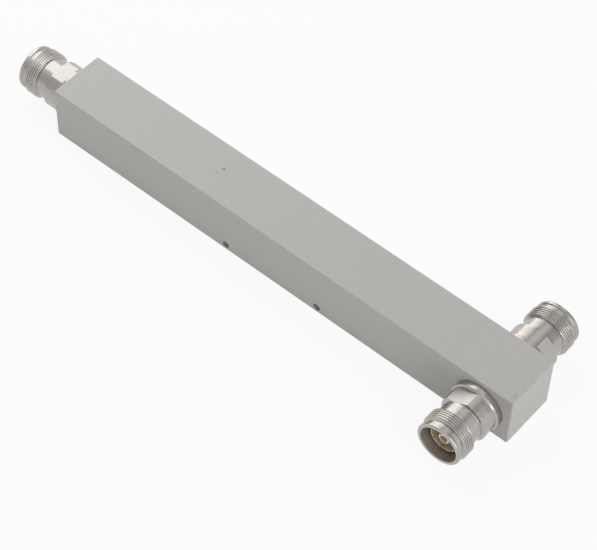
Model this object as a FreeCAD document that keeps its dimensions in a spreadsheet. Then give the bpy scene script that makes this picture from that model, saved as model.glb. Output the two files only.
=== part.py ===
import FreeCAD, Part
import os
import re
import Sketcher

# Two-way cavity power splitter. A square bar has one long round bore with a stepped inner conductor on its
# axis. The signal enters at the left end, -X, and leaves through two connectors on opposite sides, -Y and
# +Y, close to the closed right end. The origin is the middle of the flat bottom face, and +Z is up.

# Driving sizes in millimetres and degrees. Lengths along a connector start at its seat on the housing.
SIZES = [
    ("body_length", 227.0, "length of the square housing"),
    ("body_side", 25.0, "width and height of the housing"),
    ("edge_round", 0.5, "rounding of the long edges of the housing"),
    ("end_bevel", 0.3, "bevel around the two end faces of the housing"),
    ("bore_radius", 8.5, "round bore that is the outer conductor"),
    ("end_wall", 4.0, "wall left at the closed end of the bore"),
    ("tee_from_end", 14.0, "axis of the two outputs, from the closed end face"),
    ("port_clearance", 0.05, "play between a shank and its port"),
    ("port_run_out", 1.0, "port depth beyond the end of the shank"),
    ("port_bevel", 0.3, "bevel at the mouth of a port"),
    ("fixing_hole_radius", 1.65, "tapping radius of the two fixing holes"),
    ("fixing_hole_depth", 7.0, "depth of the fixing holes"),
    ("fixing_hole_height", 2.7, "height of the fixing holes above the bottom face"),
    ("fixing_hole_spacing", 46.0, "distance between the fixing holes"),
    ("line_radius", 3.7, "inner conductor at the input"),
    ("step_one_radius", 4.0, "first matching step"),
    ("step_two_radius", 4.45, "second matching step"),
    ("step_three_radius", 5.0, "third matching step"),
    ("step_four_radius", 5.4, "last matching step, which carries the junction"),
    ("line_length", 31.4, "plain inner conductor in front of the matching steps, which share the rest"),
    ("rod_gap", 6.0, "input face of the housing to the inner conductor"),
    ("rod_overrun", 6.5, "inner conductor beyond the junction"),
    ("rod_bevel", 0.3, "bevel at both ends of the inner conductor"),
    ("stem_hole_depth", 7.0, "socket for the input stem"),
    ("stem_clearance", 0.05, "play between a stem and its socket"),
    ("rod_slot_width", 0.5, "slots that make the input socket springy"),
    ("rod_slot_length", 6.0, "length of those slots"),
    ("rod_slot_count", 4, "number of those slots"),
    ("bead_thickness", 4.0, "support bead along the bore"),
    ("bead_clearance", 0.05, "play of a bead in the bore and on the conductor"),
    ("bead_groove_depth", 0.4, "groove that keeps a bead in place"),
    ("bead_slit_width", 0.6, "slit that lets a bead snap on"),
    ("connector_length", 24.0, "seat to the mouth of a connector"),
    ("shank_radius", 9.0, "screwed shank in the housing"),
    ("shank_length", 4.0, "length of the shank"),
    ("collar_radius", 10.65, "collar that seats on the housing"),
    ("collar_length", 2.6, "length of the collar"),
    ("collar_slope", 0.5, "length of the slope from the collar to the wrench part"),
    ("seal_wall", 0.5, "wall of the collar around the groove of the seal"),
    ("seal_groove_width", 1.3, "width of that groove, which undercuts the shank a little"),
    ("seal_groove_depth", 1.2, "depth of that groove"),
    ("seal_clearance", 0.02, "play of the seal ring in its groove"),
    ("collar_step", 0.65, "step from the collar to the round part with the wrench flats"),
    ("wrench_end", 9.9, "end of that round part"),
    ("wrench_slope", 0.6, "length of the slope down to the barrel"),
    ("flats_across", 17.5, "distance between the two wrench flats"),
    ("flats_start", 3.2, "start of the flats, which run out on the slope"),
    ("input_flat_turn", 0.0, "turn of the input connector's flats"),
    ("front_flat_turn", 113.5, "turn of the front connector's flats"),
    ("rear_flat_turn", -36.5, "turn of the rear connector's flats"),
    ("barrel_radius", 8.7, "smooth barrel behind the thread"),
    ("thread_radius", 10.0, "crest of the coupling thread"),
    ("thread_length", 5.5, "length of the thread"),
    ("thread_slope", 0.5, "length of the slope up to the thread"),
    ("thread_bevel", 0.4, "bevel at the front of the thread"),
    ("relief_radius", 8.9, "groove in front of the thread"),
    ("relief_width", 1.1, "width of that groove"),
    ("relief_bevel", 0.2, "bevel from the groove to the nose"),
    ("nose_radius", 9.5, "plain nose in front"),
    ("nose_length", 2.5, "length of the nose, up to the mouth"),
    ("rim_bevel", 0.3, "outer bevel of the mouth's rim"),
    ("rim_bevel_length", 1.2, "length of that bevel along the nose"),
    ("mouth_radius", 8.0, "opening of the mouth"),
    ("mouth_depth", 9.5, "depth of the mouth around the contact sleeve"),
    ("cavity_radius", 5.0, "round space that the insulator fills"),
    ("flange_seat", 6.0, "shoulder that the insulator's flange rests on"),
    ("flange_thickness", 2.0, "flange of the insulator"),
    ("insulator_back", -1.0, "rear face of the insulator"),
    ("insulator_clearance", 0.03, "play of the insulator in its shell"),
    ("sleeve_radius", 6.0, "outer contact sleeve"),
    ("sleeve_wall", 0.5, "wall of the sleeve"),
    ("sleeve_clearance", 0.02, "play of the sleeve in its shell"),
    ("sleeve_recess", 3.35, "front of the sleeve behind the mouth"),
    ("sleeve_bevel", 0.2, "bevel at the front of the sleeve"),
    ("sleeve_slot_width", 0.3, "slots of the sleeve"),
    ("sleeve_slot_length", 5.5, "length of those slots"),
    ("sleeve_slot_count", 8, "number of those slots"),
    ("sleeve_slot_turn", -6.0, "turn of the first slot"),
    ("socket_radius", 2.3, "front of the centre contact"),
    ("socket_recess", 3.3, "front of the centre contact behind the mouth"),
    ("socket_bevel", 0.25, "outer bevel of the centre contact"),
    ("socket_hole_radius", 1.5, "hole that takes the mating pin"),
    ("socket_hole_depth", 7.0, "depth of that hole"),
    ("socket_slot_width", 0.3, "slots of the centre contact"),
    ("socket_slot_length", 6.0, "length of those slots"),
    ("socket_slot_count", 4, "number of those slots"),
    ("socket_slot_turn", 39.0, "turn of the first slot"),
    ("stem_radius", 1.5, "rear stem of the centre contact"),
    ("stem_end", -11.5, "rear end of the stem, inside the housing"),
    ("stem_bevel", 0.3, "bevel at the end of the stem"),
]

# Places that several pieces share.
TEE = "body_length / 2 - tee_from_end"
AXIS_HEIGHT = "body_side / 2"
ROD_START = "-body_length / 2 + rod_gap"
ROD_END = f"{TEE} + rod_overrun"
STEP_RADII = ("step_one_radius", "step_two_radius", "step_three_radius", "step_four_radius")
STEP_LENGTH = f"(({TEE}) - ({ROD_START}) - line_length) / {len(STEP_RADII)}"
GROOVE_OUTSIDE = "collar_radius - seal_wall"
GROOVE_INSIDE = f"{GROOVE_OUTSIDE} - seal_groove_width"
WRENCH_RADIUS = "collar_radius - collar_step"
RELIEF_END = "connector_length - nose_length"
THREAD_END = f"{RELIEF_END} - relief_width"
THREAD_START = f"{THREAD_END} - thread_length"
PORT_RADIUS = "shank_radius + port_clearance"
PORT_DEPTH = "shank_length + port_run_out"
STEM_HOLE_RADIUS = "stem_radius + stem_clearance"
SLEEVE_INSIDE = "sleeve_radius - sleeve_wall"
SLEEVE_BACK = "flange_seat + flange_thickness"
SLEEVE_FRONT = "connector_length - sleeve_recess"
SOCKET_FRONT = "connector_length - socket_recess"
MOUTH_FLOOR = "connector_length - mouth_depth"
TURN = 360

doc = FreeCAD.newDocument("CavitySplitter")
sheet = doc.addObject("Spreadsheet::Sheet", "Sizes")
for row, (alias, size, meaning) in enumerate(SIZES, start=1):
    sheet.set(f"A{row}", meaning)
    sheet.set(f"B{row}", str(size))
    sheet.setAlias(f"B{row}", alias)
doc.recompute()

ALIASES = {alias for alias, size, meaning in SIZES}
pieces = []


def number(text):
    """Return the value of an expression written in aliases."""
    return float(sheet.evalExpression(text))


def bound(text):
    """Return the same expression as other objects have to write it."""
    def full_name(found):
        word = found.group(0)
        return f"Sizes.{word}" if word in ALIASES else word
    return re.sub(r"[a-z_]+", full_name, text)


def new_body(node):
    """Start a piece."""
    body = doc.addObject("PartDesign::Body", node)
    body.Label = node
    pieces.append(body)
    return body


def place(body, x, y, z, rotation=FreeCAD.Rotation()):
    """Put a piece at its place in the splitter."""
    body.Placement = FreeCAD.Placement(FreeCAD.Vector(number(x), number(y), number(z)), rotation)
    for side, text in (("x", x), ("y", y), ("z", z)):
        body.setExpression(f".Placement.Base.{side}", bound(text))


def origin_feature(body, role):
    """Find a plane or an axis of the piece's own origin."""
    return next(item for item in body.Origin.OriginFeatures if item.Role == role)


def sketch_on(body, name, role, offset="0", turn="0"):
    """Start a sketch on a plane of the piece's own origin, shifted along its normal and turned about it."""
    sketch = body.newObject("Sketcher::SketchObject", name)
    sketch.AttachmentSupport = [(origin_feature(body, role), "")]
    sketch.MapMode = "FlatFace"
    normal = FreeCAD.Vector(0, 0, 1)
    sketch.AttachmentOffset = FreeCAD.Placement(normal * number(offset), FreeCAD.Rotation(normal, number(turn)))
    sketch.setExpression("AttachmentOffset.Base.z", bound(offset))
    sketch.setExpression("AttachmentOffset.Rotation.Angle", bound(turn))
    return sketch


def fix_point(sketch, edge, point, x, y):
    """Tie a point of the sketch to its two distances from the origin."""
    for kind, text in (("DistanceX", x), ("DistanceY", y)):
        rule = sketch.addConstraint(Sketcher.Constraint(kind, -1, 1, edge, point, number(text)))
        sketch.setExpression(f"Constraints[{rule}]", bound(text))


def add_outline(sketch, points):
    """Draw a closed outline of straight edges through the given points."""
    first = sketch.GeometryCount
    corners = [FreeCAD.Vector(number(x), number(y), 0) for x, y in points]
    for start, end in zip(corners, corners[1:] + corners[:1]):
        sketch.addGeometry(Part.LineSegment(start, end))
    for index, (x, y) in enumerate(points):
        following = first + (index + 1) % len(points)
        sketch.addConstraint(Sketcher.Constraint("Coincident", first + index, 2, following, 1))
        fix_point(sketch, first + index, 1, x, y)


def add_circle(sketch, x, y, radius):
    """Draw a circle."""
    centre = FreeCAD.Vector(number(x), number(y), 0)
    edge = sketch.addGeometry(Part.Circle(centre, FreeCAD.Vector(0, 0, 1), number(radius)))
    fix_point(sketch, edge, 3, x, y)
    rule = sketch.addConstraint(Sketcher.Constraint("Radius", edge, number(radius)))
    sketch.setExpression(f"Constraints[{rule}]", bound(radius))


def revolve(body, sketch, axis):
    """Turn an outline about an axis of its sketch."""
    turned = body.newObject("PartDesign::Revolution", f"{body.Name}_turned")
    turned.Profile = sketch
    turned.ReferenceAxis = (sketch, [axis])
    turned.Angle = TURN
    doc.recompute()
    return turned


def pad(body, sketch, length):
    """Raise an outline to both sides of its plane."""
    raised = body.newObject("PartDesign::Pad", f"{body.Name}_raised")
    raised.Profile = sketch
    raised.SideType = "Symmetric"
    raised.setExpression("Length", bound(length))
    doc.recompute()
    return raised


def pocket(body, sketch, depth, forward=False, both_sides=False):
    """Cut an outline away behind its plane, before it, or on both sides."""
    before = body.Shape.Volume
    cut = body.newObject("PartDesign::Pocket", f"{sketch.Name}_cut")
    cut.Profile = sketch
    cut.Reversed = forward
    if both_sides:
        cut.SideType = "Symmetric"
    cut.setExpression("Length", bound(depth))
    doc.recompute()
    if body.Shape.Volume >= before:
        raise RuntimeError(f"{cut.Name} removes nothing")
    return cut


def repeat_round(body, feature, axis_role, count):
    """Repeat a cut evenly around an axis of the piece."""
    pattern = body.newObject("PartDesign::PolarPattern", f"{feature.Name}_round")
    pattern.Originals = [feature]
    pattern.Axis = (origin_feature(body, axis_role), [""])
    pattern.Angle = TURN
    pattern.setExpression("Occurrences", bound(count))
    body.Tip = pattern
    doc.recompute()
    return pattern


def bevel(body, edges_wanted, size):
    """Bevel the edges that the given test picks."""
    last = body.Tip
    names = [f"Edge{index}" for index, edge in enumerate(last.Shape.Edges, start=1) if edges_wanted(edge)]
    broken = body.newObject("PartDesign::Chamfer", f"{body.Name}_bevel_{size}")
    broken.Base = (last, names)
    broken.setExpression("Size", bound(size))
    body.Tip = broken
    doc.recompute()
    return broken


def build_housing():
    """Square bar with a blind bore, three screwed ports and two fixing holes."""
    body = new_body("housing")
    section = sketch_on(body, "housing_section", "YZ_Plane")
    half = "body_side / 2"
    add_outline(section, [(f"-{half}", "0"), (half, "0"), (half, "body_side"), (f"-{half}", "body_side")])
    bar = pad(body, section, "body_length")

    long_edges = [f"Edge{index}" for index, edge in enumerate(bar.Shape.Edges, start=1)
                  if edge.BoundBox.XLength > number("body_length") / 2]
    rounding = body.newObject("PartDesign::Fillet", "housing_rounding")
    rounding.Base = (bar, long_edges)
    rounding.setExpression("Radius", bound("edge_round"))
    body.Tip = rounding
    doc.recompute()
    bevel(body, lambda edge: edge.BoundBox.XLength < number("end_bevel"), "end_bevel")

    bore = sketch_on(body, "bore", "YZ_Plane", "-body_length / 2")
    add_circle(bore, "0", AXIS_HEIGHT, "bore_radius")
    pocket(body, bore, "body_length - end_wall", forward=True)
    cross = sketch_on(body, "cross_bore", "XZ_Plane")
    add_circle(cross, TEE, AXIS_HEIGHT, "bore_radius")
    pocket(body, cross, "2 * body_side", both_sides=True)

    ports = [
        ("input_port", "YZ_Plane", "-body_length / 2", "0", True),
        ("front_port", "XZ_Plane", "body_side / 2", TEE, False),
        ("rear_port", "XZ_Plane", "-body_side / 2", TEE, True),
    ]
    for name, plane, offset, across, forward in ports:
        port = sketch_on(body, name, plane, offset)
        add_circle(port, across, AXIS_HEIGHT, PORT_RADIUS)
        pocket(body, port, PORT_DEPTH, forward=forward)
    bevel(body, is_port_mouth, "port_bevel")

    holes = sketch_on(body, "fixing_holes", "XZ_Plane", "body_side / 2")
    for side in ("-", ""):
        add_circle(holes, f"{side}fixing_hole_spacing / 2", "fixing_hole_height", "fixing_hole_radius")
    pocket(body, holes, "fixing_hole_depth")


def is_port_mouth(edge):
    """Tell whether an edge is the round mouth of a port on an outer face."""
    if not isinstance(edge.Curve, Part.Circle):
        return False
    if abs(edge.Curve.Radius - number(PORT_RADIUS)) > number("port_clearance") / 2:
        return False
    middle = edge.Curve.Center
    on_end = abs(middle.x + number("body_length / 2")) < number("port_clearance")
    on_side = abs(abs(middle.y) - number("body_side / 2")) < number("port_clearance")
    return on_end or on_side


def rod_steps():
    """List the plain line and each step of the inner conductor: radius, start, end and the bead in its middle."""
    starts = [f"{TEE} - {count} * {STEP_LENGTH}" for count in range(len(STEP_RADII), 0, -1)]
    beads = ["support_bead_input", None, "support_bead_middle", None, "support_bead_output"]
    return list(zip(["line_radius", *STEP_RADII], [ROD_START, *starts], [*starts, TEE], beads))


def build_inner_conductor():
    """Turned rod with four matching steps, bead grooves, an end socket and a cross hole for the outputs."""
    body = new_body("inner_conductor")
    groove_half = "(bead_thickness / 2 + bead_clearance)"
    outline = [
        (f"{ROD_START} + stem_hole_depth", "0"),
        (f"{ROD_START} + stem_hole_depth", STEM_HOLE_RADIUS),
        (ROD_START, STEM_HOLE_RADIUS),
        (ROD_START, "line_radius - rod_bevel"),
        (f"{ROD_START} + rod_bevel", "line_radius"),
    ]
    for radius, start, end, bead in rod_steps():
        if start != ROD_START:
            outline.append((start, radius))
        if bead:
            left = f"({start} + {end}) / 2 - {groove_half}"
            right = f"({start} + {end}) / 2 + {groove_half}"
            floor = f"{radius} - bead_groove_depth"
            outline += [(left, radius), (left, floor), (right, floor), (right, radius)]
        if end != TEE:
            outline.append((end, radius))
    outline += [
        (f"{ROD_END} - rod_bevel", "step_four_radius"),
        (ROD_END, "step_four_radius - rod_bevel"),
        (ROD_END, "0"),
    ]
    profile = sketch_on(body, "rod_profile", "XZ_Plane")
    add_outline(profile, outline)
    revolve(body, profile, "H_Axis")

    cross = sketch_on(body, "rod_cross_hole", "XZ_Plane")
    add_circle(cross, TEE, "0", STEM_HOLE_RADIUS)
    pocket(body, cross, "4 * step_four_radius", both_sides=True)

    slot = sketch_on(body, "rod_slot", "YZ_Plane", ROD_START)
    half = "rod_slot_width / 2"
    reach = "line_radius + rod_bevel"
    add_outline(slot, [("0", f"-{half}"), (reach, f"-{half}"), (reach, half), ("0", half)])
    cut = pocket(body, slot, "rod_slot_length", forward=True)
    repeat_round(body, cut, "X_Axis", "rod_slot_count")
    place(body, "0", "0", AXIS_HEIGHT)


def build_support_bead(node, middle, rod_radius):
    """Slit disc that snaps into a groove of the inner conductor and centres it in the bore."""
    body = new_body(node)
    disc = sketch_on(body, f"{node}_disc", "YZ_Plane")
    add_circle(disc, "0", "0", "bore_radius - bead_clearance")
    add_circle(disc, "0", "0", f"{rod_radius} - bead_groove_depth + bead_clearance")
    pad(body, disc, "bead_thickness")

    slit = sketch_on(body, f"{node}_slit", "YZ_Plane")
    half = "bead_slit_width / 2"
    add_outline(slit, [(f"-{half}", "0"), (half, "0"), (half, "bore_radius"), (f"-{half}", "bore_radius")])
    pocket(body, slit, "2 * bead_thickness", both_sides=True)
    place(body, middle, "0", AXIS_HEIGHT)


def build_turned(node, outline):
    """Piece turned about its own axis, drawn as radius and distance from the seat."""
    body = new_body(node)
    profile = sketch_on(body, f"{node}_profile", "XZ_Plane")
    add_outline(profile, outline)
    revolve(body, profile, "V_Axis")
    return body


def cut_slots(body, front, turn, reach_in, reach_out, width, length, count):
    """Cut even radial slots into the front of a tube, so that its fingers spring."""
    slot = sketch_on(body, f"{body.Name}_slot", "XY_Plane", front, turn)
    half = f"{width} / 2"
    add_outline(slot, [(reach_in, f"-{half}"), (reach_out, f"-{half}"), (reach_out, half), (reach_in, half)])
    cut = pocket(body, slot, length)
    repeat_round(body, cut, "Z_Axis", count)


def build_shell(node, flat_turn):
    """Shell of a connector: shank, collar, wrench flats, barrel, thread, nose and mouth."""
    body = build_turned(node, [
        ("cavity_radius", "-shank_length"),
        ("shank_radius", "-shank_length"),
        ("shank_radius", "0"),
        (GROOVE_INSIDE, "0"),
        (GROOVE_INSIDE, "seal_groove_depth"),
        (GROOVE_OUTSIDE, "seal_groove_depth"),
        (GROOVE_OUTSIDE, "0"),
        ("collar_radius", "0"),
        ("collar_radius", "collar_length"),
        (WRENCH_RADIUS, "collar_length + collar_slope"),
        (WRENCH_RADIUS, "wrench_end - wrench_slope"),
        ("barrel_radius", "wrench_end"),
        ("barrel_radius", THREAD_START),
        ("thread_radius", f"{THREAD_START} + thread_slope"),
        ("thread_radius", f"{THREAD_END} - thread_bevel"),
        ("relief_radius", THREAD_END),
        ("relief_radius", f"{RELIEF_END} - relief_bevel"),
        ("nose_radius", RELIEF_END),
        ("nose_radius", "connector_length - rim_bevel_length"),
        ("nose_radius - rim_bevel", "connector_length"),
        ("mouth_radius", "connector_length"),
        ("mouth_radius", MOUTH_FLOOR),
        ("sleeve_radius + sleeve_clearance", MOUTH_FLOOR),
        ("sleeve_radius + sleeve_clearance", "flange_seat"),
        ("cavity_radius", "flange_seat"),
    ])
    flat = sketch_on(body, f"{node}_flat", "XY_Plane", "flats_start", flat_turn)
    near = "flats_across / 2"
    add_outline(flat, [(near, "-collar_radius"), ("collar_radius", "-collar_radius"),
                       ("collar_radius", "collar_radius"), (near, "collar_radius")])
    cut = pocket(body, flat, "wrench_end - flats_start", forward=True)
    pattern = body.newObject("PartDesign::PolarPattern", f"{node}_flats")
    pattern.Originals = [cut]
    pattern.Axis = (origin_feature(body, "Z_Axis"), [""])
    pattern.Angle = TURN
    pattern.Occurrences = 2
    body.Tip = pattern
    doc.recompute()
    return body


def build_outer_contact(node):
    """Slotted sleeve pressed into the shell against the insulator's flange."""
    body = build_turned(node, [
        (SLEEVE_INSIDE, SLEEVE_BACK),
        ("sleeve_radius", SLEEVE_BACK),
        ("sleeve_radius", f"{SLEEVE_FRONT} - sleeve_bevel"),
        ("sleeve_radius - sleeve_bevel", SLEEVE_FRONT),
        (SLEEVE_INSIDE, SLEEVE_FRONT),
    ])
    cut_slots(body, SLEEVE_FRONT, "sleeve_slot_turn", f"{SLEEVE_INSIDE} - sleeve_wall",
              "sleeve_radius + sleeve_wall", "sleeve_slot_width", "sleeve_slot_length", "sleeve_slot_count")
    return body


def build_insulator(node):
    """Flanged insulator that holds the centre contact in the shell."""
    return build_turned(node, [
        ("stem_radius", "insulator_back"),
        ("cavity_radius - insulator_clearance", "insulator_back"),
        ("cavity_radius - insulator_clearance", "flange_seat"),
        ("sleeve_radius", "flange_seat"),
        ("sleeve_radius", SLEEVE_BACK),
        ("stem_radius", SLEEVE_BACK),
    ])


def build_centre_contact(node):
    """Turned contact with a slotted socket in front and a stem that plugs into the inner conductor."""
    hole_floor = f"{SOCKET_FRONT} - socket_hole_depth"
    body = build_turned(node, [
        ("0", "stem_end"),
        ("stem_radius - stem_bevel", "stem_end"),
        ("stem_radius", "stem_end + stem_bevel"),
        ("stem_radius", SLEEVE_BACK),
        ("socket_radius", SLEEVE_BACK),
        ("socket_radius", f"{SOCKET_FRONT} - socket_bevel"),
        ("socket_radius - socket_bevel", SOCKET_FRONT),
        ("socket_hole_radius", SOCKET_FRONT),
        ("socket_hole_radius", hole_floor),
        ("0", hole_floor),
    ])
    cut_slots(body, SOCKET_FRONT, "socket_slot_turn", "0", "socket_radius + socket_slot_width",
              "socket_slot_width", "socket_slot_length", "socket_slot_count")
    return body


def build_seal_ring(node):
    """Seal ring of square section in the groove under the collar."""
    inner = f"{GROOVE_INSIDE} + seal_clearance"
    outer = f"{GROOVE_OUTSIDE} - seal_clearance"
    top = "seal_groove_depth - seal_clearance"
    return build_turned(node, [(inner, "seal_clearance"), (outer, "seal_clearance"), (outer, top), (inner, top)])


def build_connector(name, seat, rotation, flat_turn):
    """Build the five pieces of a connector and place them on their port."""
    shell = build_shell(f"{name}_shell", flat_turn)
    outer_contact = build_outer_contact(f"{name}_outer_contact")
    insulator = build_insulator(f"{name}_insulator")
    centre_contact = build_centre_contact(f"{name}_centre_contact")
    seal_ring = build_seal_ring(f"{name}_seal_ring")
    for body in (shell, outer_contact, insulator, centre_contact, seal_ring):
        place(body, *seat, rotation)


build_housing()
build_inner_conductor()
for radius, start, end, bead in rod_steps():
    if bead:
        build_support_bead(bead, f"({start} + {end}) / 2", radius)

# Each connector's own axis turns to point out of its face of the housing.
ALONG_X = FreeCAD.Vector(1, 0, 0)
ALONG_Y = FreeCAD.Vector(0, 1, 0)
QUARTER = 90
build_connector("input", ("-body_length / 2", "0", AXIS_HEIGHT),
                FreeCAD.Rotation(ALONG_Y, -QUARTER), "input_flat_turn")
build_connector("front_output", (TEE, "-body_side / 2", AXIS_HEIGHT),
                FreeCAD.Rotation(ALONG_X, QUARTER), "front_flat_turn")
build_connector("rear_output", (TEE, "body_side / 2", AXIS_HEIGHT),
                FreeCAD.Rotation(ALONG_X, -QUARTER), "rear_flat_turn")
doc.recompute()

# Nothing is written unless every object and every piece is sound.
for item in doc.Objects:
    if "Invalid" in item.State or "Error" in item.State:
        raise RuntimeError(f"{item.Name} did not recompute")
for body in pieces:
    if body.Shape.isNull() or not body.Shape.isValid() or len(body.Shape.Solids) != 1:
        raise RuntimeError(f"{body.Label} is not one sound solid")

os.makedirs("parts", exist_ok=True)
for body in pieces:
    body.Shape.exportStep(os.path.join("parts", f"{body.Label}.step"))
    print(f"{body.Label}: {body.Shape.Volume:.1f} cubic mm")
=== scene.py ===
from math import ceil, hypot, pi, radians

import bmesh
import bpy
from mathutils import Matrix, Vector


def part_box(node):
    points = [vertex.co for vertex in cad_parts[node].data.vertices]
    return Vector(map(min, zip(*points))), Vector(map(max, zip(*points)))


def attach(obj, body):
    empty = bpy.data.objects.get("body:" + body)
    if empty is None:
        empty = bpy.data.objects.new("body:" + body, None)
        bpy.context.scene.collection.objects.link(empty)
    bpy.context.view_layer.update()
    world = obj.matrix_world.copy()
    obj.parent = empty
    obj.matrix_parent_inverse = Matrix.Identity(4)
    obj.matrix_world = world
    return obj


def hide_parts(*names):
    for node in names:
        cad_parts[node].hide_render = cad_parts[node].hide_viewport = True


bl_info = {
    "name": "Cavity Power Splitter",
    "version": (1, 0, 0),
    "blender": (4, 5, 0),
    "location": "View3D > Sidebar > Splitter",
    "description": "Dresses the solids of a coaxial cavity power splitter "
                   "with turned connectors and finishes",
    "category": "Object",
}

# The frame is loaded first, so that every piece can be made around it.
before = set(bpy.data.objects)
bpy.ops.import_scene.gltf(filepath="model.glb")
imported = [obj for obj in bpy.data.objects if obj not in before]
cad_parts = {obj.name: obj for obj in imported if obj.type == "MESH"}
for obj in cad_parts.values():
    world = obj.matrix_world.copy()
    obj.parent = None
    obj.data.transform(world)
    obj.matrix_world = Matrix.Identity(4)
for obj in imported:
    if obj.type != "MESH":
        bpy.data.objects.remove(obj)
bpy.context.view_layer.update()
ROOT = "root"
MM = 0.001

# Steps of a full turn, and the distances below which places and vertices count as the same.
FULL_TURN = 2 * pi
SEGMENTS = 128
NEAR = 0.001 * MM
SAME_VERTEX = NEAR / 4
ABOUT_AXIS = {"cent": (0, 0, 0), "axis": (0, 0, 1)}

# Steps of a rounded corner, and the most that it takes of a short side.
ROUND_STEPS = 3
ROUND_SHARE = 0.45

# One turn of the thread, as (share of its depth below the crest, share of its pitch), and how
# many pitches ahead of the thread its sweep begins, so that it is whole where it is trimmed.
THREAD_SECTION = ((1, 0), (1, 0.11), (0.06, 0.36), (0, 0.39),
                  (0, 0.61), (0.06, 0.64), (1, 0.89), (1, 1))
THREAD_LEAD = 1.2

# The wrench flats: the two rings their shoulder stands between are this far apart, a face that
# looks this squarely their way is part of them, and their finish is a shell's second material.
SHOULDER_STEP = 0.02 * MM
FLAT_FACING = 0.9999
MILLED = 1

# Spring fingers of the contacts.
SLEEVE_FINGERS = 8
SOCKET_FINGERS = 4

# An edge sharper than this is shaded as an edge.
SHARP_EDGE = radians(40)

# The turning marks follow the distance along the axis and this share of the radius, so that
# faces square to the axis get their rings too. Coarser bands lie in them, this many to 1 mm.
FACING_SHARE = 0.5
BANDS_PER_MM = 0.9

# Most values of a noise lie between these.
NOISE_SPREAD = {"From Min": 0.3, "From Max": 0.7}
WHITE = (1, 1, 1, 1)

# Marks in the paint that the photograph shows: place and half sizes in millimetres, turn and
# strength. Their edges are ragged, and fade between two distances that count in half sizes.
PAINT_MARKS = (
    ((-36.2, 1.7, 25), (0.9, 0.45, 1), 0.4, 0.8),
    ((-37.3, -1.4, 25), (0.5, 0.4, 1), 0.0, 0.7),
    ((111.8, -9.0, 25), (0.8, 1.5, 1), 0.2, 0.2),
    ((111.2, -7.2, 25), (0.5, 0.6, 1), 0.0, 0.15),
)
MARK_COLOUR = "#6E6C66"
MARK_RAGGEDNESS = 1.4
MARK_EDGE = {"From Min": 1.3, "From Max": 1.7}

# Plating that is sheltered, as in a mouth, is this much rougher and less metallic, and its colour
# is multiplied by a tint that darkens and browns it there: painted shade of the recess.
SHELTERED_ROUGHNESS = 0.15
SHELTERED_METALLIC = -0.7
SHELTERED_SHADE_TINT = "#FFF5E9"

# The floor's half size, and how far it glows towards the white of the photograph's background.
FLOOR_REACH = 4
FLOOR_GLOW = 0.91

# The white studio lights the object at this level. Seen directly or in metal it is white, but
# darker in two upper corners and behind the left lamp, which gives the metal its contrast, and
# a little warm low on the left. Each of these places has an azimuth from +X and an elevation in
# degrees, and a soft edge, which is given in cosines.
ROOM_LIGHT = 0.42
DARK_PLACES = (((38, 36), 0.55), ((-125, 24), 0.35), ((158, 42), 0.85))
WARM_PLACE = (155, 0)
WARM_WALL = "#FFEADD"
PLACE_EDGE = {"From Min": 0.8, "From Max": 0.97}

# Each lamp's direction, and its distance, target, size and power in metres and watts.
LAMPS = {
    "lamp_left": ((158, 38), 0.9, (0, 0, 0), (0.72, 0.95), 4.2),
    "lamp_right": ((0, 30), 1.4, (0.1, 0, 0), (1.2, 1.2), 6.2),
    "lamp_low": ((-48, 4), 1.5, (0.1, 0, 0.0125), (0.5, 0.17), 1.4),
}

# The camera as fitted to the housing's corners: lens and sensor in millimetres, a shift of half
# a pixel, and in metres where it clips and where it stands, with the directions of its picture.
CAMERA_LENS = 128.05
CAMERA_SENSOR = 36
CAMERA_SHIFT = 0.5 / 597
CAMERA_CLIP = 0.01
CAMERA_PLACE = (0.3196, -0.3914, 0.6487)
CAMERA_RIGHT = (0.76176, 0.64756, 0.01986)
CAMERA_UP = (-0.52301, 0.59658, 0.60873)

# The height of the connectors' axes, and the outputs' place along the housing, from the frame.
HOUSING_LOW, HOUSING_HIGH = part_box("housing")
AXIS_HEIGHT = (HOUSING_LOW.z + HOUSING_HIGH.z) / 2
TEE_X = sum(corner.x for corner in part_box("front_output_seal_ring")) / 2


def seat(x, y, degrees, axis):
    """Place of a connector on the housing, turned so that its own axis, +Z, points out of it."""
    return Matrix.Translation((x, y, AXIS_HEIGHT)) @ Matrix.Rotation(radians(degrees), 4, axis)


PORTS = {
    "input": seat(HOUSING_LOW.x, 0, -90, "Y"),
    "front_output": seat(TEE_X, HOUSING_LOW.y, 90, "X"),
    "rear_output": seat(TEE_X, HOUSING_HIGH.y, -90, "X"),
}


# Sizes and colours

def length(name, description, default):
    """Make a length property."""
    return bpy.props.FloatProperty(name=name, description=description, default=default * MM,
                                   unit="LENGTH", precision=5)


def angle(name, description, default):
    """Make an angle property."""
    return bpy.props.FloatProperty(name=name, description=description, default=radians(default),
                                   subtype="ANGLE")


def linear(hex_colour):
    """Turn an sRGB hex colour into linear red, green, blue and alpha."""
    parts = [int(hex_colour[at:at + 2], 16) / 255 for at in (1, 3, 5)]
    return tuple(((part + 0.055) / 1.055) ** 2.4 if part > 0.04045 else part / 12.92
                 for part in parts) + (1.0,)


def colour(name, description, default):
    """Make a colour property from its sRGB hex value."""
    return bpy.props.FloatVectorProperty(name=name, description=description,
                                         default=linear(default)[:3], subtype="COLOR", size=3,
                                         min=0, max=1)


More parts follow.
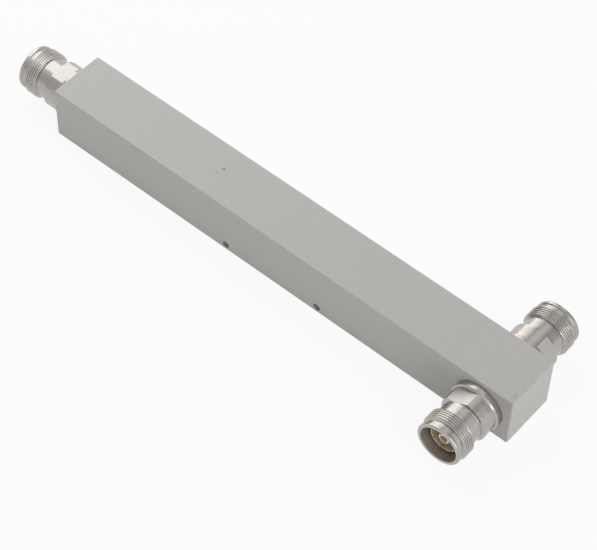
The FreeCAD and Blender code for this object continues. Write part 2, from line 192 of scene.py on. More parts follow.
class ShellSizes(bpy.types.PropertyGroup):
    """Sizes of a connector's shell: the solid's, with the thread's true form, a finer nose and
    deburred edges."""
    shank_radius: length("Shank radius", "Screwed shank in the housing", 9.0)
    shank_length: length("Shank length", "Length of the shank", 4.0)
    groove_outside: length("Seal groove outside", "Outer radius of the seal's groove", 10.15)
    groove_inside: length("Seal groove inside", "Inner radius of that groove", 8.85)
    groove_depth: length("Seal groove depth", "Depth of that groove", 1.2)
    collar_radius: length("Collar radius", "Collar that seats on the housing", 10.65)
    collar_length: length("Collar length", "Straight part of the collar", 2.6)
    collar_slope: length("Collar slope", "Slope from the collar to the wrench part", 0.5)
    wrench_radius: length("Wrench radius", "Round part that holds the wrench flats", 10.0)
    wrench_end: length("Wrench end", "End of that round part, from the seat", 9.9)
    wrench_slope: length("Wrench slope", "Slope down to the barrel", 0.6)
    flats_across: length("Across flats", "Distance between the two wrench flats", 17.5)
    flats_start: length("Flats start", "Start of the flats, from the seat", 3.2)
    barrel_radius: length("Barrel radius", "Smooth barrel behind the thread", 8.7)
    thread_radius: length("Thread radius", "Crest of the coupling thread", 10.0)
    thread_depth: length("Thread depth", "Crest to root of the coupling thread", 0.45)
    thread_pitch: length("Thread pitch", "One turn of the coupling thread", 1.0)
    thread_start: length("Thread start", "Start of the thread, from the seat", 14.8)
    thread_slope: length("Thread slope", "Slope up to the thread", 0.7)
    thread_end: length("Thread end", "End of the thread, from the seat", 20.8)
    thread_bevel: length("Thread bevel", "Bevel at the front of the thread", 0.6)
    relief_radius: length("Relief radius", "Groove in front of the thread", 8.9)
    relief_end: length("Relief end", "End of that groove, from the seat", 22.7)
    relief_bevel: length("Relief bevel", "Bevel from the groove to the nose", 0.35)
    nose_radius: length("Nose radius", "Plain nose in front", 9.5)
    rim_bevel: length("Rim bevel", "Outer bevel of the mouth's rim", 0.25)
    rim_bevel_length: length("Rim bevel length", "Length of that bevel along the nose", 0.4)
    connector_length: length("Connector length", "Seat to the mouth", 24.0)
    mouth_radius: length("Mouth radius", "Opening of the mouth", 8.0)
    mouth_depth: length("Mouth depth", "Depth of the mouth around the contact sleeve", 9.5)
    sleeve_seat_radius: length("Sleeve seat radius", "Bore that holds the contact sleeve", 6.02)
    flange_seat: length("Flange seat", "Shoulder of the insulator's flange, from the seat", 6.0)
    cavity_radius: length("Cavity radius", "Round space that the insulator fills", 5.0)
    edge_round: length("Edge rounding", "Rounding that a deburred edge has", 0.09)
    input_flat_turn: angle("Input flat turn", "Turn of the input connector's flats", 0.0)
    front_output_flat_turn: angle("Front flat turn", "Turn of the front one's flats", 113.5)
    rear_output_flat_turn: angle("Rear flat turn", "Turn of the rear one's flats", -36.5)


class ContactSizes(bpy.types.PropertyGroup):
    """Sizes of the slotted contacts: the solids', with rounded lips."""
    sleeve_radius: length("Sleeve radius", "Outer contact sleeve", 6.0)
    sleeve_inside: length("Sleeve inside", "Inside of the sleeve", 5.5)
    sleeve_back: length("Sleeve back", "Rear end of the sleeve, from the seat", 8.0)
    sleeve_front: length("Sleeve front", "Front of the sleeve, from the seat", 20.65)
    sleeve_slot: length("Sleeve slot", "Width of the sleeve's slots", 0.3)
    sleeve_slot_length: length("Sleeve slot length", "Length of the sleeve's slots", 5.5)
    sleeve_slot_turn: angle("Sleeve slot turn", "Turn of the sleeve's first slot", -6.0)
    socket_radius: length("Socket radius", "Front of the centre contact", 2.3)
    socket_hole: length("Socket hole", "Radius of the hole for the mating pin", 1.5)
    socket_hole_depth: length("Socket hole depth", "Depth of that hole", 7.0)
    socket_front: length("Socket front", "Front of the centre contact, from the seat", 20.7)
    socket_slot: length("Socket slot", "Width of the centre contact's slots", 0.3)
    socket_slot_length: length("Socket slot length", "Length of those slots", 6.0)
    socket_slot_turn: angle("Socket slot turn", "Turn of the centre contact's first slot", 39.0)
    stem_radius: length("Stem radius", "Rear stem of the centre contact", 1.5)
    stem_end: length("Stem end", "Rear end of the stem, from the seat", -11.5)
    lip_round: length("Lip rounding", "Rounding of the contacts' lips", 0.16)


class Finishes(bpy.types.PropertyGroup):
    """Colours of the finishes."""
    paint: colour("Paint", "Light grey paint of the housing", "#BFBEBA")
    plating: colour("Shell plating", "White bronze plating of the shells", "#B1ADA8")
    contact_plating: colour("Contact plating", "Silver plating of the contacts", "#E4DED0")
    insulator: colour("Insulator", "White insulators and beads", "#E9E7E1")
    rubber: colour("Seal rubber", "Black seal rings", "#1B1B1C")
    conductor: colour("Inner conductor", "Bright turned inner conductor", "#D3D2CF")
    floor: colour("Floor", "Pale paper floor", "#EEEEEE")


# Modelling in a connector's own frame

def rounded(outline, size):
    """Round the inner corners of an open outline of (radius, distance) points."""
    points = [Vector(point) for point in outline]
    result = [points[0]]
    for before, corner, after in zip(points, points[1:], points[2:]):
        reach = min(size, (before - corner).length * ROUND_SHARE,
                    (after - corner).length * ROUND_SHARE)
        start = corner + (before - corner).normalized() * reach
        end = corner + (after - corner).normalized() * reach
        for step in range(ROUND_STEPS + 1):
            share = step / ROUND_STEPS
            result.append(start.lerp(corner, share).lerp(corner.lerp(end, share), share))
    return result + [points[-1]]


def spin_outline(mesh, points, turn=FULL_TURN, steps=SEGMENTS, start=0.0, closed=False):
    """Turn an outline of (radius, distance) points about the connector's axis."""
    spot = Matrix.Rotation(start, 3, "Z")
    verts = [mesh.verts.new(spot @ Vector((radius, 0, distance))) for radius, distance in points]
    pairs = list(zip(verts, verts[1:])) + ([(verts[-1], verts[0])] if closed else [])
    edges = [mesh.edges.new(pair) for pair in pairs]
    bmesh.ops.spin(mesh, geom=verts + edges, **ABOUT_AXIS, dvec=(0, 0, 0), angle=turn,
                   steps=steps, use_merge=turn == FULL_TURN)


def boundary_at(mesh, distance):
    """List the open edges that lie at a distance from the seat."""
    return [edge for edge in mesh.edges if edge.is_boundary
            and all(abs(vert.co.z - distance) < NEAR for vert in edge.verts)]


def grow_rings(mesh, edges, points):
    """Carry an open round edge on through (radius, distance) points, and return the last ring."""
    for radius, distance in points:
        grown = bmesh.ops.extrude_edge_only(mesh, edges=edges)["geom"]
        verts = {item for item in grown if isinstance(item, bmesh.types.BMVert)}
        for vert in verts:
            flat = vert.co.xy.normalized() * radius
            vert.co = (flat.x, flat.y, distance)
        edges = [item for item in grown
                 if isinstance(item, bmesh.types.BMEdge) and set(item.verts) <= verts]
    return edges


def sweep_thread(mesh, sizes):
    """Sweep the thread's section along its helix, trim it square and bevel both its ends."""
    pitch = sizes.thread_pitch
    crest = sizes.thread_radius
    start = sizes.thread_start - THREAD_LEAD * pitch
    turns = ceil((sizes.thread_end - start) / pitch) + 1
    verts = [mesh.verts.new((crest - below * sizes.thread_depth, 0, start + along * pitch))
             for below, along in THREAD_SECTION]
    edges = [mesh.edges.new(pair) for pair in zip(verts, verts[1:])]
    bmesh.ops.spin(mesh, geom=verts + edges, **ABOUT_AXIS, dvec=(0, 0, pitch / SEGMENTS),
                   angle=FULL_TURN * turns, steps=SEGMENTS * turns)
    bmesh.ops.remove_doubles(mesh, verts=mesh.verts, dist=NEAR)
    for distance, outwards in ((sizes.thread_start, -1), (sizes.thread_end, 1)):
        everything = mesh.verts[:] + mesh.edges[:] + mesh.faces[:]
        bmesh.ops.bisect_plane(mesh, geom=everything, dist=NEAR, plane_co=(0, 0, distance),
                               plane_no=(0, 0, outwards), clear_outer=True)
    rise = (crest - sizes.barrel_radius) / sizes.thread_slope
    fall = (crest - sizes.relief_radius) / sizes.thread_bevel
    for vert in mesh.verts:
        limit = min(sizes.barrel_radius + rise * (vert.co.z - sizes.thread_start),
                    sizes.relief_radius + fall * (sizes.thread_end - vert.co.z))
        radius = hypot(vert.co.x, vert.co.y)
        if radius > limit:
            vert.co.xy *= limit / radius


def shell_outlines(sizes):
    """Draw a shell behind its thread and ahead of it, each outline down to the mouth's floor."""
    mouth_floor = sizes.connector_length - sizes.mouth_depth
    outside = rounded([
        (sizes.barrel_radius, sizes.thread_start),
        (sizes.barrel_radius, sizes.wrench_end),
        (sizes.wrench_radius, sizes.wrench_end - sizes.wrench_slope),
        (sizes.wrench_radius, sizes.flats_start + SHOULDER_STEP),
    ], sizes.edge_round)
    collar = rounded([
        (sizes.wrench_radius, sizes.flats_start),
        (sizes.wrench_radius, sizes.collar_length + sizes.collar_slope),
        (sizes.collar_radius, sizes.collar_length),
        (sizes.collar_radius, 0),
        (sizes.groove_outside, 0),
        (sizes.groove_outside, sizes.groove_depth),
        (sizes.groove_inside, sizes.groove_depth),
        (sizes.groove_inside, 0),
        (sizes.shank_radius, 0),
        (sizes.shank_radius, -sizes.shank_length),
        (sizes.cavity_radius, -sizes.shank_length),
        (sizes.cavity_radius, sizes.flange_seat),
        (sizes.sleeve_seat_radius, sizes.flange_seat),
        (sizes.sleeve_seat_radius, mouth_floor),
    ], sizes.edge_round)
    nose = rounded([
        (sizes.relief_radius, sizes.thread_end),
        (sizes.relief_radius, sizes.relief_end - sizes.relief_bevel),
        (sizes.nose_radius, sizes.relief_end),
        (sizes.nose_radius, sizes.connector_length - sizes.rim_bevel_length),
        (sizes.nose_radius - sizes.rim_bevel, sizes.connector_length),
        (sizes.mouth_radius, sizes.connector_length),
        (sizes.mouth_radius, mouth_floor),
    ], sizes.edge_round)
    return outside[1:] + collar, nose[1:]


def mill_flats(mesh, sizes, turn):
    """Cut two wrench flats, which start at a shoulder and run out on the slope to the barrel."""
    depth = sizes.flats_across / 2
    low, high = sizes.flats_start + NEAR, sizes.wrench_end + NEAR
    for side in (0, pi):
        normal = Matrix.Rotation(turn + side, 3, "Z") @ Vector((1, 0, 0))
        part = [face for face in mesh.faces
                if all(low < vert.co.z < high for vert in face.verts)
                and all(vert.co.xy.length > sizes.barrel_radius - NEAR for vert in face.verts)]
        edges = {edge for face in part for edge in face.edges}
        verts = {vert for face in part for vert in face.verts}
        bmesh.ops.bisect_plane(mesh, geom=list(verts) + list(edges) + part, dist=NEAR,
                               plane_co=normal * depth, plane_no=normal)
        for vert in mesh.verts:
            over = vert.co.dot(normal) - depth
            if low < vert.co.z < high and over > 0:
                vert.co -= normal * over
        mesh.normal_update()
        flat = {face for face in mesh.faces if abs(face.normal.dot(normal)) > FLAT_FACING}
        for face in flat:
            face.material_index = MILLED
        for edge in mesh.edges:
            if len(flat.intersection(edge.link_faces)) == 1:
                edge.smooth = False


def add_fingers(mesh, inner, outer, root, front, lip, count, slot, first):
    """Stand spring fingers with rounded lips around the axis, with slots between them."""
    middle = (outer + inner) / 2
    section = rounded([(middle, root), (outer, root), (outer, front), (inner, front),
                       (inner, root), (middle, root)], lip)[:-1]
    gap = slot / middle
    pitch = FULL_TURN / count
    for index in range(count):
        start = first + index * pitch + gap / 2
        before = set(mesh.edges)
        spin_outline(mesh, section, turn=pitch - gap, steps=ceil(SEGMENTS / count), start=start,
                     closed=True)
        ends = [edge for edge in mesh.edges if edge not in before and edge.is_boundary]
        bmesh.ops.holes_fill(mesh, edges=ends)


def turn_sleeve(sizes):
    """Turn an outer contact, a plain ring with spring fingers in front."""
    mesh = bmesh.new()
    inner, outer = sizes.sleeve_inside, sizes.sleeve_radius
    root = sizes.sleeve_front - sizes.sleeve_slot_length
    spin_outline(mesh, [(inner, sizes.sleeve_back), (outer, sizes.sleeve_back), (outer, root),
                        (inner, root)], closed=True)
    add_fingers(mesh, inner, outer, root, sizes.sleeve_front, sizes.lip_round,
                SLEEVE_FINGERS, sizes.sleeve_slot, sizes.sleeve_slot_turn)
    return mesh


def turn_socket(sizes):
    """Turn a centre contact, a stem with a socket of spring fingers in front."""
    mesh = bmesh.new()
    inner, outer = sizes.socket_hole, sizes.socket_radius
    root = sizes.socket_front - sizes.socket_slot_length
    hole_floor = sizes.socket_front - sizes.socket_hole_depth
    spin_outline(mesh, rounded([
        (0, hole_floor), (inner, hole_floor), (inner, root), (outer, root),
        (outer, sizes.sleeve_back), (sizes.stem_radius, sizes.sleeve_back),
        (sizes.stem_radius, sizes.stem_end), (0, sizes.stem_end)],
        sizes.lip_round / 2), steps=SEGMENTS // 2)
    add_fingers(mesh, inner, outer, root, sizes.socket_front, sizes.lip_round,
                SOCKET_FINGERS, sizes.socket_slot, sizes.socket_slot_turn)
    return mesh


def finish_mesh(mesh, name, port, materials, nodes, shelter):
    """Place a piece on its port, as an object that rides on the body and stands for CAD nodes.

    Inside the radius called shelter, its finish is the sheltered one."""
    bmesh.ops.remove_doubles(mesh, verts=mesh.verts, dist=SAME_VERTEX)
    bmesh.ops.recalc_face_normals(mesh, faces=mesh.faces)
    turning = mesh.verts.layers.float.new("turning")
    sheltered = mesh.verts.layers.float.new("sheltered")
    for vert in mesh.verts:
        vert[turning] = (vert.co.z - FACING_SHARE * vert.co.xy.length) / MM
        # Sheltered places get a rougher, less metallic finish, and painted shade in their colour.
        vert[sheltered] = float(vert.co.xy.length < shelter)
    for face in mesh.faces:
        face.smooth = True
    for edge in mesh.edges:
        if len(edge.link_faces) == 2 and edge.calc_face_angle() > SHARP_EDGE:
            edge.smooth = False
    bmesh.ops.transform(mesh, matrix=PORTS[port], verts=mesh.verts)
    data = bpy.data.meshes.new(name)
    mesh.to_mesh(data)
    mesh.free()
    for material in materials:
        data.materials.append(material)
    piece = bpy.data.objects.new(name, data)
    bpy.context.collection.objects.link(piece)
    weighted = piece.modifiers.new("weighted_normals", "WEIGHTED_NORMAL")
    weighted.keep_sharp = True
    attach(piece, ROOT)
    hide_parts(*nodes)


# Materials

def add(tree, kind, inputs=None, **settings):
    """Add a node with its settings, and give each input its value or its link."""
    node = tree.nodes.new(kind)
    for name, value in settings.items():
        setattr(node, name, value)
    for socket, value in (inputs or {}).items():
        if isinstance(value, bpy.types.NodeSocket):
            tree.links.new(value, node.inputs[socket])
        else:
            node.inputs[socket].default_value = value
    return node


def new_material(name):
    """Start a material, and return it with its empty node tree."""
    material = bpy.data.materials.new(name)
    material.use_nodes = True
    material.node_tree.nodes.clear()
    return material, material.node_tree


def per_mm(size):
    """Scale, on coordinates in metres, of a pattern with features of this size in millimetres."""
    return 1 / (size * MM)


def shade(rgb, factor):
    """Make a colour lighter or darker."""
    return tuple(min(1, part * factor) for part in rgb[:3]) + (1.0,)


def mark_paint(tree, place, surface):
    """Lay specks and scuffs over the paint's colour, each a ragged oval."""
    ragged = add(tree, "ShaderNodeTexNoise", {
        "Vector": place, "Scale": per_mm(0.5), "Detail": 3.0})
    for spot, size, turn, strength in PAINT_MARKS:
        mapped = add(tree, "ShaderNodeMapping", {
            "Vector": place, "Location": [part * MM for part in spot], "Rotation": (0, 0, turn),
            "Scale": [part * MM for part in size]}, vector_type="TEXTURE")
        far = add(tree, "ShaderNodeVectorMath", {0: mapped.outputs["Vector"]}, operation="LENGTH")
        rough = add(tree, "ShaderNodeMath", {
            0: ragged.outputs["Fac"], 1: MARK_RAGGEDNESS, 2: far.outputs["Value"]},
            operation="MULTIPLY_ADD")
        mask = add(tree, "ShaderNodeMapRange", {
            "Value": rough.outputs["Value"], **MARK_EDGE, "To Min": strength, "To Max": 0.0})
        surface = add(tree, "ShaderNodeMixRGB", {
            "Fac": mask.outputs["Result"], "Color1": surface,
            "Color2": linear(MARK_COLOUR)}).outputs["Color"]
    return surface


def painted_aluminium(rgb):
    """Sprayed two-pack paint on aluminium.

    It gives a soft satin grey with a fine orange peel, a faint cloudiness and a few specks and
    scuffs. The peel's waves are 0.9 mm apart and the clouds 30 mm."""
    material, tree = new_material("painted_aluminium_sprayed")
    place = add(tree, "ShaderNodeTexCoord").outputs["Object"]
    cloud = add(tree, "ShaderNodeTexNoise", {
        "Vector": place, "Scale": per_mm(30), "Detail": 3.0})
    grain = add(tree, "ShaderNodeTexNoise", {
        "Vector": place, "Scale": per_mm(0.9), "Detail": 2.0})
    tone = add(tree, "ShaderNodeMixRGB", {
        "Fac": cloud.outputs["Fac"], "Color1": shade(rgb, 0.97), "Color2": shade(rgb, 1.03)})
    fine = add(tree, "ShaderNodeMapRange", {
        "Value": grain.outputs["Fac"], **NOISE_SPREAD, "To Min": 0.97, "To Max": 1.03})
    tinted = add(tree, "ShaderNodeMixRGB", {
        "Fac": 1.0, "Color1": tone.outputs["Color"], "Color2": fine.outputs["Result"]},
        blend_type="MULTIPLY")
    rough = add(tree, "ShaderNodeMapRange", {
        "Value": cloud.outputs["Fac"], **NOISE_SPREAD, "To Min": 0.42, "To Max": 0.5})
    peel = add(tree, "ShaderNodeBump", {
        "Height": grain.outputs["Fac"], "Strength": 0.25, "Distance": 0.03 * MM})
    paint = add(tree, "ShaderNodeBsdfPrincipled", {
        "Base Color": mark_paint(tree, place, tinted.outputs["Color"]),
        "Roughness": rough.outputs["Result"], "IOR": 1.5, "Normal": peel.outputs["Normal"]})
    add(tree, "ShaderNodeOutputMaterial", {"Surface": paint.outputs["BSDF"]})
    return material


def turned_metal(name, rgb, roughness, groove):
    """Turned and plated metal.

    The tool's spiral leaves fine rings around the axis, which spread the highlights along it,
    and the plating has a faint change of tone. The rings are one feed of the tool apart, and
    the bands in them are drawn about 1 mm wide, coarse enough to show."""
    material, tree = new_material(name)
    place = add(tree, "ShaderNodeTexCoord").outputs["Object"]
    along = add(tree, "ShaderNodeAttribute", attribute_name="turning").outputs["Fac"]
    sheltered = add(tree, "ShaderNodeAttribute", attribute_name="sheltered").outputs["Fac"]
    rings = add(tree, "ShaderNodeTexNoise", {
        "W": along, "Scale": 1 / groove, "Detail": 3.0}, noise_dimensions="1D")
    bands = add(tree, "ShaderNodeTexNoise", {
        "W": along, "Scale": BANDS_PER_MM, "Detail": 2.0}, noise_dimensions="1D")
    haze = add(tree, "ShaderNodeTexNoise", {"Vector": place, "Scale": per_mm(5), "Detail": 3.0})
    tone = add(tree, "ShaderNodeMixRGB", {
        "Fac": haze.outputs["Fac"], "Color1": shade(rgb, 0.93), "Color2": shade(rgb, 1.05)})
    # Painted shade: inside a mouth the plating's colour is multiplied by a darker, browner tint.
    recess_shade = add(tree, "ShaderNodeMixRGB", {
        "Fac": sheltered, "Color1": tone.outputs["Color"], "Color2": linear(SHELTERED_SHADE_TINT)},
        blend_type="MULTIPLY")
    open_dull = add(tree, "ShaderNodeMapRange", {
        "Value": bands.outputs["Fac"], **NOISE_SPREAD, "To Min": roughness * 0.8,
        "To Max": roughness * 1.25})
    dull = add(tree, "ShaderNodeMath", {
        0: sheltered, 1: SHELTERED_ROUGHNESS, 2: open_dull.outputs["Result"]},
        operation="MULTIPLY_ADD")
    metallic = add(tree, "ShaderNodeMath", {0: sheltered, 1: SHELTERED_METALLIC, 2: 1.0},
                   operation="MULTIPLY_ADD")
    bump = add(tree, "ShaderNodeBump", {
        "Height": rings.outputs["Fac"], "Strength": 0.35, "Distance": 0.006 * MM})
    metal = add(tree, "ShaderNodeBsdfPrincipled", {
        "Base Color": recess_shade.outputs["Color"], "Roughness": dull.outputs["Value"],
        "Metallic": metallic.outputs["Value"], "Normal": bump.outputs["Normal"]})
    add(tree, "ShaderNodeOutputMaterial", {"Surface": metal.outputs["BSDF"]})
    return material


def milled_metal(name, rgb, roughness):
    """Milled and plated metal.

    The end mill leaves a fine satin grain, duller and more even than the turned surfaces beside
    it. The grain is finer than 0.1 mm, and is drawn at 0.25 mm, coarse enough to show."""
    material, tree = new_material(name)
    place = add(tree, "ShaderNodeTexCoord").outputs["Object"]
    grain = add(tree, "ShaderNodeTexNoise", {
        "Vector": place, "Scale": per_mm(0.25), "Detail": 3.0})
    haze = add(tree, "ShaderNodeTexNoise", {"Vector": place, "Scale": per_mm(3), "Detail": 2.0})
    tone = add(tree, "ShaderNodeMixRGB", {
        "Fac": haze.outputs["Fac"], "Color1": shade(rgb, 0.95), "Color2": shade(rgb, 1.05)})
    bump = add(tree, "ShaderNodeBump", {
        "Height": grain.outputs["Fac"], "Strength": 0.3, "Distance": 0.01 * MM})
    metal = add(tree, "ShaderNodeBsdfPrincipled", {
        "Base Color": tone.outputs["Color"], "Roughness": roughness, "Metallic": 1.0,
        "Normal": bump.outputs["Normal"]})
    add(tree, "ShaderNodeOutputMaterial", {"Surface": metal.outputs["BSDF"]})
    return material


def fluoropolymer(rgb):
    """Turned white fluoropolymer.

    It looks waxy and a little translucent, with faint tool marks."""
    material, tree = new_material("fluoropolymer_turned")
    place = add(tree, "ShaderNodeTexCoord").outputs["Object"]
    wax = add(tree, "ShaderNodeTexNoise", {"Vector": place, "Scale": per_mm(2), "Detail": 3.0})
    tone = add(tree, "ShaderNodeMixRGB", {
        "Fac": wax.outputs["Fac"], "Color1": shade(rgb, 0.96), "Color2": shade(rgb, 1.02)})
    bump = add(tree, "ShaderNodeBump", {
        "Height": wax.outputs["Fac"], "Strength": 0.2, "Distance": 0.02 * MM})
    body = add(tree, "ShaderNodeBsdfPrincipled", {
        "Base Color": tone.outputs["Color"], "Roughness": 0.42, "IOR": 1.36,
        "Subsurface Weight": 0.15, "Subsurface Scale": 1 * MM, "Normal": bump.outputs["Normal"]})
    add(tree, "ShaderNodeOutputMaterial", {"Surface": body.outputs["BSDF"]})
    return material


def moulded_rubber(rgb):
    """Moulded black rubber.

    It looks matt, with a faint bloom."""
    material, tree = new_material("rubber_moulded")
    place = add(tree, "ShaderNodeTexCoord").outputs["Object"]
    bloom = add(tree, "ShaderNodeTexNoise", {
        "Vector": place, "Scale": per_mm(0.8), "Detail": 3.0})
    tone = add(tree, "ShaderNodeMixRGB", {
        "Fac": bloom.outputs["Fac"], "Color1": shade(rgb, 0.8), "Color2": shade(rgb, 1.6)})
    bump = add(tree, "ShaderNodeBump", {
        "Height": bloom.outputs["Fac"], "Strength": 0.3, "Distance": 0.02 * MM})
    body = add(tree, "ShaderNodeBsdfPrincipled", {
        "Base Color": tone.outputs["Color"], "Roughness": 0.75, "IOR": 1.5,
        "Normal": bump.outputs["Normal"]})
    add(tree, "ShaderNodeOutputMaterial", {"Surface": body.outputs["BSDF"]})
    return material


def dress(node, material):
    """Give a CAD node its finish."""
    node_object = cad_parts[node]
    node_object.data.materials.clear()
    node_object.data.materials.append(material)


# The stage

def heading(azimuth, elevation):
    """Unit vector towards an azimuth from +X and an elevation, in degrees."""
    turn = Matrix.Rotation(radians(azimuth), 3, "Z") @ Matrix.Rotation(radians(-elevation), 3, "Y")
    return turn @ Vector((1, 0, 0))


def seen_directly(tree):
    """Tell the rays that see the surroundings, straight or in metal, from those that light."""
    path = add(tree, "ShaderNodeLightPath").outputs
    sharp = add(tree, "ShaderNodeMath", {0: path["Is Camera Ray"], 1: path["Is Glossy Ray"]},
                operation="MAXIMUM")
    return add(tree, "ShaderNodeMath", {
        0: sharp.outputs["Value"], 1: path["Is Transmission Ray"]},
        operation="MAXIMUM").outputs["Value"]


def closeness(tree, towards, place, most):
    """Rise softly to a value as a direction of sight comes close to a place in the studio."""
    near = add(tree, "ShaderNodeVectorMath", {0: towards, 1: heading(*place)},
               operation="DOT_PRODUCT")
    return add(tree, "ShaderNodeMapRange", {
        "Value": near.outputs["Value"], **PLACE_EDGE, "To Min": 0.0, "To Max": most},
        interpolation_type="SMOOTHSTEP").outputs["Result"]


def lay_floor(scene):
    """Lay a pale paper floor, which looks nearly white and keeps the object's shadow."""
    mesh = bmesh.new()
    bmesh.ops.create_grid(mesh, x_segments=1, y_segments=1, size=FLOOR_REACH)
    data = bpy.data.meshes.new("floor")
    mesh.to_mesh(data)
    mesh.free()
    floor = bpy.data.objects.new("floor", data)
    scene.collection.objects.link(floor)
    material, tree = new_material("paper_pale")
    paper = add(tree, "ShaderNodeBsdfDiffuse", {
        "Color": tuple(scene.splitter_finishes.floor) + (1.0,)})
    glow = add(tree, "ShaderNodeEmission", {"Color": WHITE, "Strength": 1.0})
    share = add(tree, "ShaderNodeMath", {0: seen_directly(tree), 1: FLOOR_GLOW},
                operation="MULTIPLY")
    both = add(tree, "ShaderNodeMixShader", {
        0: share.outputs["Value"], 1: paper.outputs["BSDF"], 2: glow.outputs["Emission"]})
    add(tree, "ShaderNodeOutputMaterial", {"Surface": both.outputs["Shader"]})
    data.materials.append(material)


def build_studio(scene):
    """Surround the object with the white studio."""
    world = bpy.data.worlds.new("studio")
    world.use_nodes = True
    tree = world.node_tree
    tree.nodes.clear()
    towards = add(tree, "ShaderNodeTexCoord").outputs["Generated"]
    level = 1.0
    for place, depth in DARK_PLACES:
        level = add(tree, "ShaderNodeMath", {0: level, 1: closeness(tree, towards, place, depth)},
                    operation="SUBTRACT").outputs["Value"]
    strength = add(tree, "ShaderNodeMix", {
        "Factor": seen_directly(tree), "A": ROOM_LIGHT, "B": level})
    wall = add(tree, "ShaderNodeMixRGB", {
        "Fac": closeness(tree, towards, WARM_PLACE, 1.0), "Color1": WHITE,
        "Color2": linear(WARM_WALL)})
    sky = add(tree, "ShaderNodeBackground", {
        "Color": wall.outputs["Color"], "Strength": strength.outputs["Result"]})
    add(tree, "ShaderNodeOutputWorld", {"Surface": sky.outputs["Background"]})
    scene.world = world


def hang_lamp(name, direction, distance, target, size, power):
    """Hang a soft area lamp and point it at a target."""
    light = bpy.data.lights.new(name, "AREA")
    light.shape = "RECTANGLE"
    light.size, light.size_y = size
    light.energy = power
    lamp = bpy.data.objects.new(name, light)
    lamp.location = heading(*direction) * distance
    lamp.rotation_euler = (lamp.location - Vector(target)).to_track_quat("Z", "Y").to_euler()
    bpy.context.collection.objects.link(lamp)


def set_camera(scene):
    """Put the camera where the photograph was taken from."""
    data = bpy.data.cameras.new("camera")
    data.sensor_width = CAMERA_SENSOR
    data.sensor_fit = "HORIZONTAL"
    data.lens = CAMERA_LENS
    data.shift_x = -CAMERA_SHIFT
    data.shift_y = CAMERA_SHIFT
    data.clip_start = CAMERA_CLIP
    camera = bpy.data.objects.new("camera", data)
    right, up = Vector(CAMERA_RIGHT), Vector(CAMERA_UP)
    turn = Matrix((right, up, right.cross(up).normalized())).transposed().to_4x4()
    camera.matrix_world = Matrix.Translation(CAMERA_PLACE) @ turn
    scene.collection.objects.link(camera)
    scene.camera = camera


# Operators, one for each piece or group of like pieces and one for the stage

class SPLITTER_OT_housing(bpy.types.Operator):
    """Paint the housing"""
    bl_idname = "splitter.housing"
    bl_label = "Housing"

    def execute(self, context):
        dress("housing", painted_aluminium(context.scene.splitter_finishes.paint))
        return {"FINISHED"}


class SPLITTER_OT_inside(bpy.types.Operator):
    """Finish the pieces inside the housing and the shells"""
    bl_idname = "splitter.inside"
    bl_label = "Inside"

    def execute(self, context):
        finishes = context.scene.splitter_finishes
        dress("inner_conductor", turned_metal("aluminium_turned_bright", finishes.conductor,
                                              roughness=0.28, groove=0.12))
        white = fluoropolymer(finishes.insulator)
        for node in ("support_bead_input", "support_bead_middle", "support_bead_output"):
            dress(node, white)
        rubber = moulded_rubber(finishes.rubber)
        for port in PORTS:
            dress(f"{port}_insulator", white)
            dress(f"{port}_seal_ring", rubber)
        return {"FINISHED"}


class SPLITTER_OT_shells(bpy.types.Operator):
    """Turn the three connector shells, with their threads and wrench flats"""
    bl_idname = "splitter.shells"
    bl_label = "Connector shells"

    def execute(self, context):
        sizes = context.scene.splitter_shells
        rgb = context.scene.splitter_finishes.plating
        plating = [
            turned_metal("brass_turned_white_bronze_plated", rgb, roughness=0.25, groove=0.1),
            milled_metal("brass_milled_white_bronze_plated", rgb, roughness=0.36)]
        back, front = shell_outlines(sizes)
        for port in PORTS:
            mesh = bmesh.new()
            sweep_thread(mesh, sizes)
            behind = boundary_at(mesh, sizes.thread_start)
            ahead = boundary_at(mesh, sizes.thread_end)
            mouth_floor = grow_rings(mesh, behind, back) + grow_rings(mesh, ahead, front)
            bmesh.ops.bridge_loops(mesh, edges=mouth_floor)
            mill_flats(mesh, sizes, getattr(sizes, f"{port}_flat_turn"))
            finish_mesh(mesh, f"{port}_turned_shell", port, plating,
                        [f"{port}_shell"], sizes.mouth_radius + sizes.edge_round / 2)
        return {"FINISHED"}


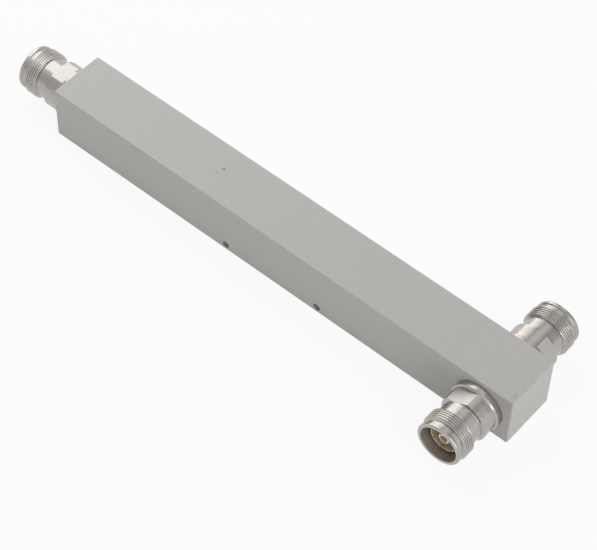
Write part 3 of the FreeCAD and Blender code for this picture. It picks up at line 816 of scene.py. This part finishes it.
class SPLITTER_OT_contacts(bpy.types.Operator):
    """Make the slotted sleeve and the slotted centre contact of each connector"""
    bl_idname = "splitter.contacts"
    bl_label = "Contacts"

    def execute(self, context):
        sizes = context.scene.splitter_contacts
        rgb = context.scene.splitter_finishes.contact_plating
        plating = [turned_metal("bronze_turned_silver_plated", rgb, roughness=0.24, groove=0.08)]
        for port in PORTS:
            finish_mesh(turn_sleeve(sizes), f"{port}_contact_sleeve", port, plating,
                        [f"{port}_outer_contact"],
                        (sizes.sleeve_radius + sizes.sleeve_inside) / 2)
            finish_mesh(turn_socket(sizes), f"{port}_contact_socket", port, plating,
                        [f"{port}_centre_contact"],
                        (sizes.socket_radius + sizes.socket_hole) / 2)
        return {"FINISHED"}


class SPLITTER_OT_stage(bpy.types.Operator):
    """Set up the floor, the surroundings, the lamps and the camera"""
    bl_idname = "splitter.stage"
    bl_label = "Stage"

    def execute(self, context):
        scene = context.scene
        scene.view_settings.view_transform = "Standard"
        lay_floor(scene)
        build_studio(scene)
        for name, settings in LAMPS.items():
            hang_lamp(name, *settings)
        set_camera(scene)
        return {"FINISHED"}


class SPLITTER_PT_panel(bpy.types.Panel):
    """Lists the steps and the sizes"""
    bl_label = "Cavity power splitter"
    bl_idname = "SPLITTER_PT_panel"
    bl_space_type = "VIEW_3D"
    bl_region_type = "UI"
    bl_category = "Splitter"

    def draw(self, context):
        for operator in OPERATORS:
            self.layout.operator(operator.bl_idname)
        for group in GROUPS:
            box = self.layout.box()
            settings = getattr(context.scene, group)
            for name in settings.bl_rna.properties.keys():
                if name not in ("rna_type", "name"):
                    box.prop(settings, name)


OPERATORS = (SPLITTER_OT_housing, SPLITTER_OT_inside, SPLITTER_OT_shells, SPLITTER_OT_contacts,
             SPLITTER_OT_stage)
GROUPS = {"splitter_shells": ShellSizes, "splitter_contacts": ContactSizes,
          "splitter_finishes": Finishes}


def register():
    """Register the classes, and give the scene its settings."""
    for item in (*GROUPS.values(), *OPERATORS, SPLITTER_PT_panel):
        bpy.utils.register_class(item)
    for name, group in GROUPS.items():
        setattr(bpy.types.Scene, name, bpy.props.PointerProperty(type=group))


def unregister():
    """Take the settings and the classes away again."""
    for name in GROUPS:
        delattr(bpy.types.Scene, name)
    for item in (SPLITTER_PT_panel, *reversed(OPERATORS), *reversed(list(GROUPS.values()))):
        bpy.utils.unregister_class(item)


def main():
    """Register the steps, and dress the frame in order."""
    register()
    bpy.ops.splitter.housing()
    bpy.ops.splitter.inside()
    bpy.ops.splitter.shells()
    bpy.ops.splitter.contacts()
    bpy.ops.splitter.stage()


if __name__ == "__main__":
    main()
